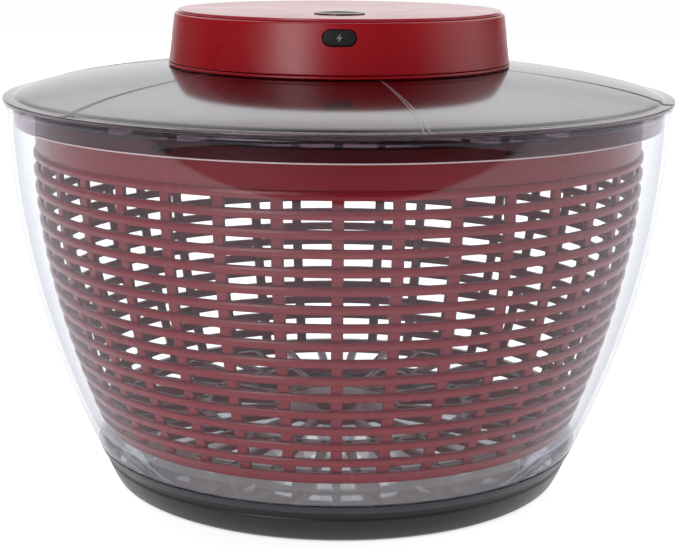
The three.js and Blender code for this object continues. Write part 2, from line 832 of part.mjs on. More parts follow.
function makeBush(low, flangeLow) {
  const bore = shaftRadius + bearingClearance;
  const high = flangeLow + bushFlangeThickness;
  return join([
    tubeRing(bore, bushRadius, low, high, 16),
    tubeRing(bore, bushFlangeRadius, flangeLow, high, 16),
  ]);
}

function makeLowerBush() {
  const flangeLow = tubFloorTop + runningGap;
  return makeBush(bushBottom, flangeLow);
}

function makeUpperBush() {
  const flangeLow = plateTop + runningGap;
  return makeBush(plateBottom, flangeLow);
}

function makeShaftSeal() {
  const low = sealBossBottom + sealInset;
  return tubeRing(shaftRadius + bearingClearance, bushRadius, low, bushBottom - runningGap, 16);
}

function makeGearPlate() {
  const shape = new THREE.Shape();
  const flat = cellFront - 2 * runningGap;
  const end = Math.asin(flat / plateRadius);
  shape.absarc(0, 0, plateRadius, Math.PI - end, end + Math.PI * 2, false);
  const plate = extruded(shape, plateBottom, plateTop, 24);
  const hole = (radius, place) => moved(disc(radius, plateBottom - past, plateTop + past, 12), place);
  const screwHole = screwShankRadius + runningGap;
  return cut(plate, [
    hole(bushRadius + runningGap, new THREE.Vector2()),
    hole(idlerPinRadius + runningGap, idlerPlace),
    hole(motorShaftRadius + motorPlateMouth, motorPlace),
    ...motorScrewPlaces().map((place) => hole(screwHole, place)),
    ...postAngles.map((angle) => hole(screwHole, onCircle(postCircle, angle))),
  ]);
}

function motorScrewPlaces() {
  return [-1, 1].map((side) => new THREE.Vector2(motorPlace.x + side * motorScrewSpacing / 2, motorPlace.y));
}

// ---------------------------------------------------------------- motor

function makeMotorCan() {
  const inner = motorRadius - motorCanWall;
  const can = turned([
    [motorShaftRadius + motorMouth, motorBottom],
    [motorRadius, motorBottom],
    [motorRadius, motorTop],
    [inner, motorTop],
    [inner, motorBottom + motorCanWall],
    [motorShaftRadius + motorMouth, motorBottom + motorCanWall],
  ], 28);
  const tappedTop = motorBottom + motorTapDepth;
  const tapped = [-1, 1].map((side) => disc(screwShankRadius + runningGap, motorBottom - past, tappedTop, 8)
    .translate(side * motorScrewSpacing / 2, 0, 0));
  return cut(can, tapped);
}

function makeMotorEndCap() {
  const plate = tubeRing(motorShaftRadius + bearingClearance, motorRadius - motorCanWall - runningGap,
    motorTop - motorCapDepth, motorTop - motorCapInset, 24);
  const tab = (side) => box(terminalSize, [side * terminalAcross, 0, motorTop + terminalRise]);
  return join([plate, tab(-1), tab(1)]);
}

function makeMagnet() {
  const outer = motorRadius - motorCanWall - runningGap;
  const shape = new THREE.Shape();
  const end = radians(magnetHalfAngle);
  shape.absarc(0, 0, outer, -end, end, false);
  shape.absarc(0, 0, outer - magnetThickness, end, -end, true);
  return extruded(shape, motorBottom + magnetLow, motorTop - magnetHigh, 10);
}

function makeArmature() {
  const core = [motorBottom + armatureInset, motorTop - armatureInset];
  return turned([
    [0, upperGearBottom - motorShaftTip],
    [motorShaftRadius, upperGearBottom - motorShaftTip],
    [motorShaftRadius, core[0]],
    [armatureRadius, core[0]],
    [armatureRadius, core[1]],
    [motorShaftRadius, core[1]],
    [motorShaftRadius, motorTop + motorShaftTail],
    [0, motorTop + motorShaftTail],
  ], 20);
}

// ---------------------------------------------------------------- battery and leads

function cellPlace() {
  return { y: cellBack - cellRadius, z: tubFloorTop + runningGap + cellRadius };
}

function makeCell() {
  const half = cellLength / 2;
  const cell = turned([
    [0, -half],
    [cellRadius, -half],
    [cellRadius, half - cellCapHeight],
    [cellRadius - cellCapInset, half - cellCapHeight],
    [cellRadius - cellCapInset, half],
    [0, half],
  ], 24);
  const { y, z } = cellPlace();
  return cell.rotateY(Math.PI / 2).translate(0, y, z);
}

function lead(points) {
  const route = new THREE.CatmullRomCurve3(points.map((p) => new THREE.Vector3(...p)));
  const section = new THREE.Shape();
  section.absarc(0, 0, leadRadius, 0, Math.PI * 2, false);
  const settings = { steps: 11, bevelEnabled: false, extrudePath: route, curveSegments: 4 };
  return new THREE.ExtrudeGeometry(section, settings);
}

function makeBatteryLead(side) {
  const { y, z } = cellPlace();
  const end = cellLength / 2 + runningGap + leadRadius;
  return lead([
    [side * end, y, z],
    [side * (end + 4), y - 4, z + 12],
    [side * (end + 6), y - 29, boardBottom - 3],
    [side * (end - 6), boardBack + 4, boardBottom - 2.5],
    [side * 17, boardBack - 0.5, boardBottom - 2.2],
  ]);
}

function makeMotorLead(side) {
  const start = motorPlace.x + side * terminalAcross;
  return lead([
    [start, motorPlace.y - 2.8, motorTop + 1.6],
    [start - 1, motorPlace.y - motorRadius, motorTop + 1.6],
    [start - 9, boardBack + 7, boardBottom - 2],
    [start - 20, boardBack - 2, boardBottom - 2.2],
  ]);
}

// ---------------------------------------------------------------- drive spider

function spiderHubBottom() {
  return sealBossBottom - runningGap - spiderHubHeight;
}

function makeSpider() {
  const hubTop = sealBossBottom - runningGap;
  const hubBottom = spiderHubBottom();
  const rimBottom = basketTop + runningGap;
  const rimTop = rimBottom + spiderWeb;
  const rimOuter = basketTopRadius - spiderRimInset;
  const rimInner = rimOuter - spiderRimWidth;
  const webLow = hubTop - spiderWeb - spiderWebDrop;
  const kneeRadius = tubRadius - tubCorner;
  const kneeTop = tubBottom - spiderTubClearance;
  const plate = turned([
    [shaftRadius + runningGap, hubBottom + spiderHubFloor],
    [shaftRadius + runningGap, hubTop],
    [spiderHubRadius, hubTop],
    [spiderHubRadius, webLow + spiderWeb],
    [kneeRadius, kneeTop],
    [rimInner, rimTop],
    [rimOuter, rimTop],
    [rimOuter, rimBottom],
    [rimInner, rimBottom],
    [kneeRadius, kneeTop - spiderWeb],
    [spiderHubRadius, webLow],
    [spiderHubRadius, hubBottom],
    [screwShankRadius + runningGap, hubBottom],
    [screwShankRadius + runningGap, hubBottom + spiderHubFloor],
  ], barCount);
  const lugWidth = notchWidth - 2 * notchClearance;
  const lugHeight = notchDepth - notchClearance;
  const lug = () => box(
    [basketWall, lugWidth, lugHeight + spiderWeb / 2],
    [rimOuter - basketWall / 2, 0, rimBottom - lugHeight / 2 + spiderWeb / 4],
  );
  const windowShape = spiderWindow(spiderHubRadius + spiderWindowInner, rimInner - spiderWindowOuter);
  const window = () => extruded(windowShape, hubBottom, rimTop + past, 4);
  const windows = aroundAxis(notchCount, window);
  return join([cut(plate, windows), ...aroundAxis(notchCount, lug)]);
}

// The opening between two arms whose sides run parallel to them.
function spiderWindow(inner, outer) {
  const step = Math.PI * 2 / notchCount;
  const edge = (radius) => Math.asin(spiderArmWidth / 2 / radius);
  const shape = new THREE.Shape();
  shape.absarc(0, 0, outer, edge(outer), step - edge(outer), false);
  shape.absarc(0, 0, inner, step - edge(inner), edge(inner), true);
  return shape;
}

// ---------------------------------------------------------------- screws

// A pan-head screw standing on its head at height zero, with its shank along +Z.
function screw(length) {
  return turned([
    [0, 0],
    [screwHeadRadius * screwHeadCrown, 0],
    [screwHeadRadius, screwHeadHeight * screwHeadSide],
    [screwHeadRadius, screwHeadHeight],
    [screwShankRadius, screwHeadHeight],
    [screwShankRadius, length],
    [0, length + screwPoint],
  ], 10);
}

// ---------------------------------------------------------------- finishes

function finish(colour, roughness, metalness = 0, opacity = 1) {
  return new THREE.MeshStandardMaterial({
    color: colour,
    roughness,
    metalness,
    transparent: opacity < 1,
    opacity,
  });
}

const finishes = {
  clear: () => finish(0xe9eef0, 0.05, 0, 0.3),
  smoked: () => finish(0x6d6c70, 0.06, 0, 0.55),
  footRubber: () => finish(0x3c4146, 0.4, 0, 0.9),
  basketRed: () => finish(0x8e3038, 0.35),
  housingRed: () => finish(0x9c0f1e, 0.15),
  panelRed: () => finish(0xb02a36, 0.08),
  buttonBlack: () => finish(0x231c1e, 0.2),
  rubberBlack: () => finish(0x141416, 0.7),
  steel: () => finish(0xb9bcc0, 0.3, 1),
  bronze: () => finish(0xa9824a, 0.45, 1),
  gearWhite: () => finish(0xe6e3da, 0.5),
  circuitGreen: () => finish(0x1f5d3a, 0.5),
  cellBlue: () => finish(0x2d5f9a, 0.35),
  magnetGrey: () => finish(0x3a3a3d, 0.6),
  copper: () => finish(0xa8653a, 0.4, 1),
  leadRed: () => finish(0xb3201f, 0.5),
  leadBlack: () => finish(0x1b1b1d, 0.5),
};

// ---------------------------------------------------------------- assembly

function piece(name, geometry, finishName) {
  const mesh = new THREE.Mesh(closed(geometry), finishes[finishName]());
  mesh.name = name;
  return mesh;
}

function screwPiece(name, length, place, headHeight, pointsDown = false) {
  const mesh = piece(name, screw(length), 'steel');
  mesh.position.set(place.x, place.y, headHeight);
  if (pointsDown) mesh.rotation.x = Math.PI;
  return mesh;
}

function makeBowlGroup() {
  const group = new THREE.Group();
  group.add(piece('bowl', makeBowl(), 'clear'));
  group.add(piece('base_ring', makeFootRing(), 'footRubber'));
  return group;
}

function makeShellGroup() {
  const group = new THREE.Group();
  group.add(piece('lid', makeLid(), 'smoked'));
  group.add(piece('housing_base', makeHousingBase(), 'housingRed'));
  group.add(piece('housing_top', makeHousingTop(), 'housingRed'));
  group.add(piece('top_panel', makeTopPanel(), 'panelRed'));
  group.add(piece('charge_port_cover', makePortCover(), 'rubberBlack'));
  for (let i = 0; i < housingScrewCount; i += 1) {
    const place = onCircle(housingScrewCircle, 45 + i * 360 / housingScrewCount);
    const head = lidSeatHeight - lidWall - runningGap - screwHeadHeight;
    group.add(screwPiece(`housing_screw_${i + 1}`, shellBottom + housingScrewDepth - head, place, head));
  }
  return group;
}

function makeElectronicsGroup() {
  const group = new THREE.Group();
  const buttonStack = new THREE.Group();
  buttonStack.position.set(0, -buttonForward, 0);
  buttonStack.add(piece('power_button', makePowerButton(), 'buttonBlack'));
  buttonStack.add(piece('switch_plunger', makeSwitchPlunger(), 'rubberBlack'));
  buttonStack.add(piece('power_switch', makePowerSwitch(), 'magnetGrey'));
  group.add(buttonStack);
  group.add(piece('circuit_board', makeCircuitBoard(), 'circuitGreen'));
  group.add(piece('charge_socket', makeChargeSocket(), 'steel'));
  group.add(piece('battery_cell', makeCell(), 'cellBlue'));
  group.add(piece('battery_lead_positive', makeBatteryLead(1), 'leadRed'));
  group.add(piece('battery_lead_negative', makeBatteryLead(-1), 'leadBlack'));
  group.add(piece('motor_lead_positive', makeMotorLead(1), 'leadRed'));
  group.add(piece('motor_lead_negative', makeMotorLead(-1), 'leadBlack'));
  boardScrewPlaces().forEach((place, i) => {
    const head = boardBottom - runningGap - screwHeadHeight;
    group.add(screwPiece(`board_screw_${i + 1}`, boardTop + boardScrewReach - head, place, head));
  });
  return group;
}

function makeMotorGroup() {
  const group = new THREE.Group();
  const motor = new THREE.Group();
  motor.position.set(motorPlace.x, motorPlace.y, 0);
  motor.add(piece('motor_can', makeMotorCan(), 'steel'));
  motor.add(piece('motor_end_cap', makeMotorEndCap(), 'magnetGrey'));
  motor.add(piece('motor_armature', makeArmature(), 'copper'));
  motor.add(piece('motor_pinion', makePinion(), 'bronze'));
  ['front', 'back'].forEach((side, i) => {
    const magnet = piece(`motor_magnet_${side}`, makeMagnet(), 'magnetGrey');
    magnet.rotation.z = radians(-90 + 180 * i);
    motor.add(magnet);
  });
  group.add(motor);
  motorScrewPlaces().forEach((place, i) => {
    const head = plateBottom - runningGap - screwHeadHeight;
    group.add(screwPiece(`motor_screw_${i + 1}`, motorBottom + motorScrewReach - head, place, head));
  });
  return group;
}

function makeGearGroup() {
  const group = new THREE.Group();
  const idler = new THREE.Group();
  idler.position.set(idlerPlace.x, idlerPlace.y, 0);
  idler.add(piece('idler_gear', makeIdlerGear(), 'gearWhite'));
  const pin = disc(idlerPinRadius, tubFloorTop - idlerPinSeat, plateTop - idlerPinBelowPlate, 12);
  idler.add(piece('idler_pin', pin, 'steel'));
  group.add(idler);
  group.add(piece('output_gear', makeOutputGear(), 'gearWhite'));
  group.add(piece('drive_shaft', makeDriveShaft(), 'steel'));
  group.add(piece('shaft_bush_lower', makeLowerBush(), 'bronze'));
  group.add(piece('shaft_bush_upper', makeUpperBush(), 'bronze'));
  group.add(piece('shaft_seal', makeShaftSeal(), 'rubberBlack'));
  group.add(piece('gear_plate', makeGearPlate(), 'steel'));
  postAngles.forEach((angle, i) => {
    const head = plateTop + runningGap + screwHeadHeight;
    const length = head - plateBottom + postScrewReach;
    group.add(screwPiece(`plate_screw_${i + 1}`, length, onCircle(postCircle, angle), head, true));
  });
  group.add(piece('drive_spider', makeSpider(), 'smoked'));
  const head = spiderHubBottom() - runningGap - screwHeadHeight;
  group.add(screwPiece('spider_screw', screwHeadHeight + spiderScrewGrip, new THREE.Vector2(), head));
  return group;
}

const saladSpinner = new THREE.Group();
saladSpinner.name = 'salad_spinner';
saladSpinner.add(makeBowlGroup());
saladSpinner.add(piece('basket', makeBasket(), 'basketRed'));
saladSpinner.add(makeShellGroup());
saladSpinner.add(makeElectronicsGroup());
saladSpinner.add(makeMotorGroup());
saladSpinner.add(makeGearGroup());

export default saladSpinner;
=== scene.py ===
# Looks of the rechargeable salad spinner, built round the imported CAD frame. Lengths are in metres.

import bmesh
import bpy
import json
import math
from mathutils import Matrix, Vector


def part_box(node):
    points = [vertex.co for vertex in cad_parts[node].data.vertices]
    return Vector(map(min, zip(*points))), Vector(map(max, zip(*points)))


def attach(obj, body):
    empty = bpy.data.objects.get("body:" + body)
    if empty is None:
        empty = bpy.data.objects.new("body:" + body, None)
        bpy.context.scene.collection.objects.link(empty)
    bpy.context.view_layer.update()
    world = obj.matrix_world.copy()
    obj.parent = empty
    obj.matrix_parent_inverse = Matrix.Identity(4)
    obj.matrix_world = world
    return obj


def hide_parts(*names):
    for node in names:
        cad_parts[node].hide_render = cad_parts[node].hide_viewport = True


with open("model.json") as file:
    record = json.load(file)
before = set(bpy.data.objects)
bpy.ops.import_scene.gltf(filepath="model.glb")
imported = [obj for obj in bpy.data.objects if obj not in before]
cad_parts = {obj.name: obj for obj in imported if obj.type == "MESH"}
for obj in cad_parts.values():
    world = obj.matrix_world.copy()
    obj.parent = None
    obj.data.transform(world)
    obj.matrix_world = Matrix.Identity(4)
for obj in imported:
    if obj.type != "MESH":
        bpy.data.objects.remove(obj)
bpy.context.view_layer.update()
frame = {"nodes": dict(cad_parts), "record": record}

MM = 0.001
SMOOTH_ANGLE = math.radians(38)   # edges of a mesh that turn by more than this stay sharp
CORNER_ANGLE = math.radians(25)   # corners of an outline that turn by more than this are rounded
SAME_POINT = 1e-9
MERGE_DISTANCE = 1e-7
ON_AXIS = 1e-6

# ---------------------------------------------------------------- sizes, from the frame where it has them


def top_of(node):
    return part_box(node)[1].z


def bottom_of(node):
    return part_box(node)[0].z


def radius_of(node):
    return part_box(node)[1].x


GAP = 0.3 * MM                    # between neighbouring parts

LIP_RADIUS = radius_of("bowl")
LIP_TOP = top_of("bowl")
LIP_OVERHANG = 1.1 * MM
BOWL_RADIUS = LIP_RADIUS - LIP_OVERHANG
BOWL_WALL = 2.0 * MM
FOOT_RADIUS = 90.2 * MM
RING_TOP = top_of("base_ring")
RING_THICKNESS = 2.0 * MM
RING_UNDER = 3.8 * MM

BASKET_BOTTOM = 24.5 * MM
PIVOT_IN_BASKET = 2.5 * MM
PIVOT_TOP = BASKET_BOTTOM + PIVOT_IN_BASKET
BASKET_TOP = top_of("basket")
BASKET_RADIUS = radius_of("basket")
BASKET_FOOT = 96.5 * MM
STRAIGHT_FROM = 132.0 * MM        # height at which the basket's wall becomes upright
BASKET_CURVE = 1.8
HOOP_COUNT = 16
HOOP_PITCH = 6.71 * MM
TOP_HOOP = 133.96 * MM
HOOP_DEPTH, HOOP_HEIGHT = 3.0 * MM, 3.5 * MM
HOOP_SQUARENESS = 0.75            # 1 gives an elliptical section, less a squarer one
BAR_COUNT = 36
BAR_BOTTOM, BAR_TOP = 26 * MM, 134 * MM
BAR_HALF_WIDTH = 2.1 * MM
BAR_FRONT, BAR_BACK = 1.5 * MM, 3.6 * MM   # both inwards from the basket's outside
BAR_BEVEL = 0.4 * MM

RIM_RADIUS = radius_of("lid")
RIM_FLAT = 4.2 * MM
RIM_THICKNESS = 1.6 * MM
RIM_UNDER = LIP_TOP + GAP
RIM_TOP = RIM_UNDER + RIM_THICKNESS
LID_TOP = top_of("lid")
LID_WALL = 2.0 * MM
KNEE = 110 * MM                   # radius of the dome curve's control point
KNEE_DROP = 3.9 * MM              # of that point below the lid's top
SEAT_RADIUS = 66 * MM
SEAM_COUNT = 6
SEAM_START = math.radians(-77)
SEAM_SPACING = 1.1 * MM           # of each line from the middle of its pair, at the rim

SHELL_BOTTOM = bottom_of("housing_top")
SHELL_TOP = top_of("housing_top")
SHELL_FOOT = radius_of("housing_top")
SHELL_WALL = 2.2 * MM
PANEL_TOP = top_of("top_panel")
PANEL_BOTTOM = bottom_of("top_panel")
PANEL_RADIUS = radius_of("top_panel")
PANEL_INSET = 1.4 * MM
SHELL_TOP_RADIUS = PANEL_RADIUS + PANEL_INSET
BUTTON_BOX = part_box("power_button")
BUTTON_Y = (BUTTON_BOX[0].y + BUTTON_BOX[1].y) / 2
BUTTON_RADIUS = 9.6 * MM
PORT_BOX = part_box("charge_port_cover")
PORT_Z = (PORT_BOX[0].z + PORT_BOX[1].z) / 2
PORT_PROUD = 0.15 * MM


def bowl_outside(z):
    left = 1 - z / LIP_TOP
    return FOOT_RADIUS + (BOWL_RADIUS - FOOT_RADIUS) * (1 - left * left)


def basket_outside(z):
    share = min(max((z - BASKET_BOTTOM) / (STRAIGHT_FROM - BASKET_BOTTOM), 0), 1)
    return BASKET_FOOT + (BASKET_RADIUS - BASKET_FOOT) * (1 - (1 - share) ** BASKET_CURVE)


def shell_outside(z):
    share = (z - SHELL_BOTTOM) / (SHELL_TOP - SHELL_BOTTOM)
    return SHELL_FOOT + (SHELL_TOP_RADIUS - SHELL_FOOT) * share


# ---------------------------------------------------------------- mesh helpers


def spread(low, high, steps):
    return [low + (high - low) * i / steps for i in range(steps + 1)]


def bend(start, control, end, steps):
    """Points along a quadratic curve in the radius-height plane."""
    points = []
    for i in range(steps + 1):
        t = i / steps
        a, b, c = (1 - t) ** 2, 2 * t * (1 - t), t * t
        points.append(tuple(a * p + b * q + c * r for p, q, r in zip(start, control, end)))
    return points


def rounded(points, radius, steps=4):
    """The closed outline with its sharper corners off the axis replaced by arc-like curves."""
    result = []
    for i, point in enumerate(points):
        here = Vector(point)
        before = Vector(points[i - 1]) - here
        after = Vector(points[(i + 1) % len(points)]) - here
        if before.length < SAME_POINT or after.length < SAME_POINT or here.x < ON_AXIS:
            result.append(point)
            continue
        if math.pi - before.angle(after) < CORNER_ANGLE:
            result.append(point)
            continue
        reach = min(radius, before.length * 0.45, after.length * 0.45)
        start = here + before.normalized() * reach
        end = here + after.normalized() * reach
        result += bend(start, here, end, steps)
    return result


def smooth(mesh):
    mesh.shade_smooth()
    mesh.set_sharp_from_angle(angle=SMOOTH_ANGLE)


def finish_mesh(name, bm):
    bmesh.ops.remove_doubles(bm, verts=bm.verts, dist=MERGE_DISTANCE)
    bmesh.ops.recalc_face_normals(bm, faces=bm.faces)
    mesh = bpy.data.meshes.new(name)
    bm.to_mesh(mesh)
    bm.free()
    smooth(mesh)
    piece = bpy.data.objects.new(name, mesh)
    bpy.context.scene.collection.objects.link(piece)
    return piece


def add_turned(bm, outline, segments, centre=(0, 0)):
    """Turns a closed outline of (radius, height) points about a vertical axis."""
    rings = []
    for radius, height in outline:
        if radius < ON_AXIS:
            rings.append([bm.verts.new((centre[0], centre[1], height))])
            continue
        ring = []
        for i in range(segments):
            angle = 2 * math.pi * i / segments
            x = centre[0] + radius * math.cos(angle)
            y = centre[1] + radius * math.sin(angle)
            ring.append(bm.verts.new((x, y, height)))
        rings.append(ring)
    ends_on_axis = outline[0][0] < ON_AXIS and outline[-1][0] < ON_AXIS
    pairs = list(zip(rings, rings[1:]))
    if not ends_on_axis:
        pairs.append((rings[-1], rings[0]))
    for low, high in pairs:
        if len(low) == 1 and len(high) == 1:
            continue
        for i in range(segments):
            j = (i + 1) % segments
            if len(low) == 1:
                bm.faces.new((low[0], high[i], high[j]))
            elif len(high) == 1:
                bm.faces.new((low[i], low[j], high[0]))
            else:
                bm.faces.new((low[i], low[j], high[j], high[i]))


def turned(name, outline, segments, centre=(0, 0)):
    bm = bmesh.new()
    add_turned(bm, outline, segments, centre)
    return finish_mesh(name, bm)


def add_sweep(bm, sections):
    """Joins closed loops of points into a capped bar."""
    loops = [[bm.verts.new(point) for point in section] for section in sections]
    for low, high in zip(loops, loops[1:]):
        for i in range(len(low)):
            j = (i + 1) % len(low)
            bm.faces.new((low[i], low[j], high[j], high[i]))
    bm.faces.new(loops[0])
    bm.faces.new(loops[-1])


def cut_with(piece, cutter):
    """Subtracts one mesh object from another for good."""
    modifier = piece.modifiers.new("cut", "BOOLEAN")
    modifier.operation = "DIFFERENCE"
    modifier.solver = "EXACT"
    modifier.object = cutter
    bpy.context.view_layer.objects.active = piece
    bpy.ops.object.modifier_apply(modifier=modifier.name)
    bpy.data.objects.remove(cutter)
    smooth(piece.data)


# ---------------------------------------------------------------- material helpers


def math_node(tree, operation, *sources, clamp=False):
    """A math node fed by sockets or plain numbers."""
    node = tree.nodes.new("ShaderNodeMath")
    node.operation = operation
    node.use_clamp = clamp
    for socket, source in zip(node.inputs, sources):
        if isinstance(source, (int, float)):
            socket.default_value = source
        else:
            tree.links.new(source, socket)
    return node.outputs[0]


class Nodes:
    """A material's node tree with its Principled shader. Noise scales are per metre."""

    def __init__(self, name):
        self.material = bpy.data.materials.new(name)
        self.material.use_nodes = True
        self.tree = self.material.node_tree
        self.shader = self.tree.nodes["Principled BSDF"]
        self.output = self.tree.nodes["Material Output"]
        self.coordinates = self.add("ShaderNodeTexCoord").outputs["Object"]

    def add(self, kind, **settings):
        node = self.tree.nodes.new(kind)
        for key, value in settings.items():
            setattr(node, key, value)
        return node

    def link(self, source, target):
        self.tree.links.new(source, target)

    def feed(self, source, socket):
        self.link(source, self.shader.inputs[socket])

    def set(self, **values):
        for key, value in values.items():
            self.shader.inputs[key.replace("_", " ")].default_value = value

    def compute(self, operation, *sources, clamp=False):
        return math_node(self.tree, operation, *sources, clamp=clamp)

    def along(self, axis):
        parts = self.add("ShaderNodeSeparateXYZ")
        self.link(self.coordinates, parts.inputs[0])
        return parts.outputs[axis]

    def noise(self, scale, detail=3.0, roughness=0.5, stretch=(1, 1, 1)):
        mapping = self.add("ShaderNodeMapping")
        mapping.inputs["Scale"].default_value = stretch
        self.link(self.coordinates, mapping.inputs["Vector"])
        texture = self.add("ShaderNodeTexNoise")
        texture.inputs["Scale"].default_value = scale
        texture.inputs["Detail"].default_value = detail
        texture.inputs["Roughness"].default_value = roughness
        self.link(mapping.outputs["Vector"], texture.inputs["Vector"])
        return texture.outputs["Fac"]

    def ramp(self, factor, stops):
        ramp = self.add("ShaderNodeValToRGB")
        while len(ramp.color_ramp.elements) < len(stops):
            ramp.color_ramp.elements.new(0.5)
        for element, (place, colour) in zip(ramp.color_ramp.elements, stops):
            element.position = place
            element.color = (*colour, 1)
        self.link(factor, ramp.inputs["Fac"])
        return ramp.outputs["Color"]

    def range(self, factor, low, high, source_low=0.3, source_high=0.7):
        """Maps the source range, by default that of a noise, to low..high."""
        node = self.add("ShaderNodeMapRange")
        node.inputs["From Min"].default_value = source_low
        node.inputs["From Max"].default_value = source_high
        node.inputs["To Min"].default_value = low
        node.inputs["To Max"].default_value = high
        self.link(factor, node.inputs["Value"])
        return node.outputs["Result"]

    def bump(self, height, strength, distance, under=None):
        node = self.add("ShaderNodeBump")
        node.inputs["Strength"].default_value = strength
        node.inputs["Distance"].default_value = distance
        self.link(height, node.inputs["Height"])
        if under is not None:
            self.link(under, node.inputs["Normal"])
        self.feed(node.outputs["Normal"], "Normal")
        return node.outputs["Normal"]

    def transparent(self, colour):
        node = self.add("ShaderNodeBsdfTransparent")
        node.inputs["Color"].default_value = (*colour, 1)
        return node.outputs["BSDF"]

    def mix(self, share, first, second):
        node = self.add("ShaderNodeMixShader")
        self.link(share, node.inputs["Fac"])
        self.link(first, node.inputs[1])
        self.link(second, node.inputs[2])
        return node.outputs["Shader"]

    def show(self, surface):
        self.link(surface, self.output.inputs["Surface"])


def moulded(name, colour, darker, roughness, coat=0.0, grain=0.15, grain_scale=900, colour_scale=25,
            specular=0.5):
    """Injection-moulded plastic: slight colour drift, uneven gloss and a fine moulded surface."""
    m = Nodes(name)
    m.feed(m.ramp(m.noise(colour_scale), [(0.3, darker), (0.7, colour)]), "Base Color")
    m.feed(m.range(m.noise(60, 4), roughness * 0.85, roughness * 1.2), "Roughness")
    m.set(Coat_Weight=coat, Coat_Roughness=0.04, IOR=1.5, Specular_IOR_Level=specular)
    wave = m.bump(m.noise(14, 1), 0.08, 0.0004)
    m.bump(m.noise(grain_scale, 2), grain, 0.00002, wave)
    return m.material


def metal(name, colour, roughness, stretch=(1, 1, 8), scale=300):
    """Metal with fine brush marks, packed closer along an axis with more stretch."""
    m = Nodes(name)
    brushed = m.noise(scale, 4, 0.6, stretch)
    low = tuple(c * 0.8 for c in colour)
    m.feed(m.ramp(brushed, [(0.3, low), (0.7, colour)]), "Base Color")
    m.feed(m.range(brushed, roughness * 0.7, roughness * 1.4), "Roughness")
    m.set(Metallic=1.0)
    m.bump(brushed, 0.15, 0.00003)
    return m.material


def clear_wall(name, passes, mirrors, roughness):
    """Clear plastic in thin walls: it mirrors more towards its edges and doesn't bend what is behind it."""
    m = Nodes(name)
    m.set(Base_Color=(*mirrors, 1), Metallic=1.0)
    m.feed(m.range(m.noise(40, 3), roughness * 0.6, roughness * 1.5), "Roughness")
    m.bump(m.noise(18, 1), 0.04, 0.0003)
    facing = m.add("ShaderNodeLayerWeight").outputs["Facing"]
    edge = m.range(m.compute("POWER", facing, 5.0), 0.0, 0.96, 0, 1)
    thick_below, thin_above = 12 * MM, 26 * MM
    thick = m.range(m.along("Z"), 0.16, 0.04, thick_below, thin_above)
    share = m.compute("ADD", edge, thick, clamp=True)
    m.show(m.mix(share, m.transparent(passes), m.shader.outputs["BSDF"]))
    return m.material


def smoked_plastic():
    """Smoked plastic: a satin dome and a polished, clearer skirt below the rim."""
    m = Nodes("smoked_plastic")
    m.set(Base_Color=(0.24, 0.20, 0.225, 1), Transmission_Weight=1.0, IOR=1.5)
    height = m.along("Z")
    satin = m.range(height, 0.03, 0.13, RIM_TOP, RIM_TOP + 3 * MM)
    m.feed(m.compute("MULTIPLY", satin, m.range(m.noise(25, 2), 0.95, 1.05)), "Roughness")
    m.bump(m.noise(16, 1), 0.03, 0.0003)
    skirt = m.range(height, 1.0, 0.0, RIM_UNDER - GAP, RIM_UNDER)
    share = m.compute("MULTIPLY", skirt, 0.93)
    seen = m.mix(share, m.shader.outputs["BSDF"], m.transparent((0.56, 0.49, 0.53)))
    path = m.add("ShaderNodeLightPath")
    m.show(m.mix(path.outputs["Is Shadow Ray"], seen, m.transparent((0.3, 0.27, 0.3))))
    return m.material


def foot_rubber():
    """Soft grey rubber with painted light in its colour: painted shade darkest in the groove, painted
    reflections lighter at the bottom and bluish on the top band.
    """
    m = Nodes("foot_rubber")
    m.set(Transmission_Weight=0.1, IOR=1.45, Coat_Weight=0.1, Coat_Roughness=0.1)
    m.feed(m.range(m.noise(50, 4), 0.18, 0.32), "Roughness")
    height = m.range(m.along("Z"), 0, 1, 0, RING_TOP)
    painted_light_height = m.compute("ADD", height, m.range(m.noise(30), -0.02, 0.02))
    # Painted light by height: a painted reflection lighter at the bottom, painted shade darkest in the
    # groove, a painted bluish reflection on the top band.
    m.feed(m.ramp(painted_light_height, [
        (0.0, (0.050, 0.053, 0.060)),
        (0.35, (0.018, 0.020, 0.023)),
        (0.58, (0.010, 0.012, 0.014)),
        (0.64, (0.003, 0.003, 0.004)),
        (0.78, (0.003, 0.003, 0.004)),
        (0.86, (0.034, 0.036, 0.046)),
        (1.0, (0.026, 0.027, 0.036)),
    ]), "Base Color")
    m.bump(m.noise(700, 2), 0.2, 0.00003)
    return m.material


CLEAR = clear_wall("clear_plastic", (0.985, 0.988, 0.99), (0.80, 0.82, 0.90), 0.03)
SMOKED = smoked_plastic()
FOOT_RUBBER = foot_rubber()
BASKET_RED = moulded("basket_red", (0.22, 0.008, 0.016), (0.19, 0.006, 0.013), 0.24, specular=0.35)
HOUSING_RED = moulded("housing_red", (0.40, 0.003, 0.010), (0.36, 0.002, 0.008), 0.3, grain=0.05)
PANEL_RED = moulded("panel_red", (0.42, 0.02, 0.035), (0.38, 0.016, 0.03), 0.16, grain=0.03)
BUTTON_BLACK = moulded("button_black", (0.016, 0.010, 0.012), (0.009, 0.006, 0.007), 0.25)
RUBBER_BLACK = moulded("rubber_black", (0.010, 0.010, 0.011), (0.006, 0.006, 0.006), 0.55, grain=0.5)
MARK_GREY = moulded("mark_grey", (0.30, 0.29, 0.30), (0.25, 0.24, 0.25), 0.35)
